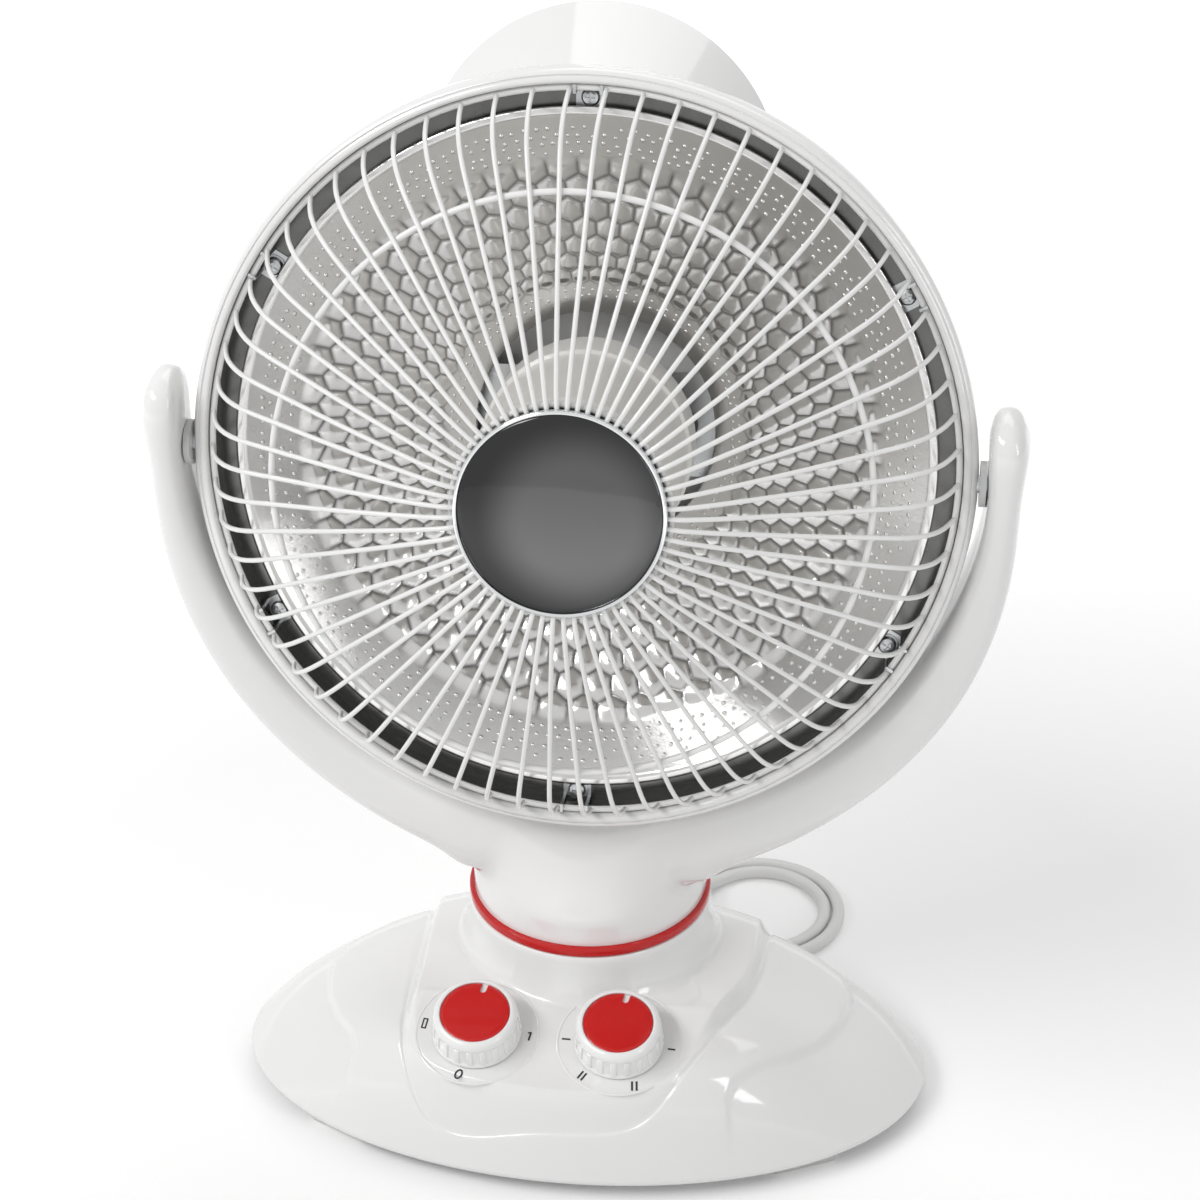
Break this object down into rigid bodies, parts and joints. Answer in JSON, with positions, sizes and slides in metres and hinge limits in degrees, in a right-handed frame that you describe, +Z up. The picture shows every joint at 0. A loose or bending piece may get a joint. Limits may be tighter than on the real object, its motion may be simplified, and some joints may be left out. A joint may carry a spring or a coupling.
{
  "type": "parabolic heater",
  "caption": "Dished radiant heater: a guarded reflector head tilts in a curved yoke that swivels on a domed base with rotary controls and a mains cord.",
  "frame": {"origin": "on the floor under the swivel axis", "axes": "+Z up along the swivel axis, the heater faces -Y, +X to its left when facing the way it heats"},
  "size_m": [0.349, 0.3102, 0.471],
  "materials": {
    "shell_white": "glossy",
    "knob_white": "glossy",
    "red_cap": "glossy",
    "red_ring": "glossy",
    "housing_white": "gloss enamel",
    "guard_white": "gloss enamel",
    "reflector": "polished, hammered",
    "channel": "dark satin",
    "badge_dark": "satin",
    "badge_chrome": "polished",
    "steel": "zinc plated",
    "ceramic": "ceramic, matt glaze",
    "wire": "oxidised resistance wire",
    "cord_white": "satin",
    "dark_plastic": "matt",
    "foot_rubber": "matt",
    "pin_brass": "polished",
    "cast": "rough",
    "pale_plastic": "matt"
  },
  "bodies": {
    "base": {"base_shell": "shell_white", "base_plate": "dark_plastic", "feet": "foot_rubber", "base_screws": "steel", "ballast": "cast", "tip_switch": "dark_plastic", "left_switch": "dark_plastic", "right_switch": "dark_plastic", "swing_motor": "steel", "thrust_washer": "pale_plastic", "cord_gland": "cord_white", "power_cord": "cord_white", "cord_coil": "cord_white", "cord_tie": "dark_plastic", "plug": "cord_white", "plug_pins": "pin_brass"},
    "left_dial": {"left_knob": "knob_white", "left_cap": "red_cap"},
    "right_dial": {"right_knob": "knob_white", "right_cap": "red_cap"},
    "crank": {"swing_crank": "pale_plastic"},
    "swivel": {"swivel_hub": "shell_white", "retaining_ring": "steel", "hub_screws": "steel", "accent_ring": "red_ring", "swing_arm": "steel", "yoke_front": "shell_white", "yoke_rear": "shell_white", "yoke_screws": "steel", "pivot_washers": "pale_plastic"},
    "head": {"pivot_studs": "steel", "pivot_clips": "steel", "housing": "housing_white", "bezel": "shell_white", "rear_cover": "shell_white", "cover_screws": "steel", "reflector": "reflector", "mounting_ring": "channel", "guard_wires": "guard_white", "guard_rings": "guard_white", "guard_clips": "steel", "guard_washers": "steel", "guard_screws": "steel", "badge": "badge_dark", "badge_rim": "badge_chrome", "hub_plate": "steel", "badge_screw": "steel", "ceramic_drum": "ceramic", "element_core": "ceramic", "heating_coil": "wire", "socket": "ceramic", "socket_bracket": "steel", "socket_screws": "steel", "terminal_block": "pale_plastic", "thermal_cutout": "dark_plastic"}
  },
  "joints": [
    {"name": "swivel_turn", "type": "hinge", "parent": "base", "child": "swivel", "pos_m": [0, 0, 0], "axis": [0, 0, 1], "range_deg": [-30, 30]},
    {"name": "head_tilt", "type": "hinge", "parent": "swivel", "child": "head", "pos_m": [0, -0.0253, 0.3086], "axis": [1, 0, 0], "range_deg": [-15, 25]},
    {"name": "left_dial_turn", "type": "hinge", "parent": "base", "child": "left_dial", "pos_m": [-0.0395, -0.073, 0.05983], "axis": [0, -0.309, 0.9511], "range_deg": [-135, 135]},
    {"name": "right_dial_turn", "type": "hinge", "parent": "base", "child": "right_dial", "pos_m": [0.021, -0.073, 0.05983], "axis": [0, -0.309, 0.9511], "range_deg": [-135, 135]},
    {"name": "crank_turn", "type": "hinge", "parent": "base", "child": "crank", "pos_m": [0, -0.032, 0], "axis": [0, 0, 1], "range_deg": [-90, 90]}
  ],
  "couplings": [
    {"joint": "crank_turn", "follows": "swivel_turn", "ratio": 3}
  ]
}
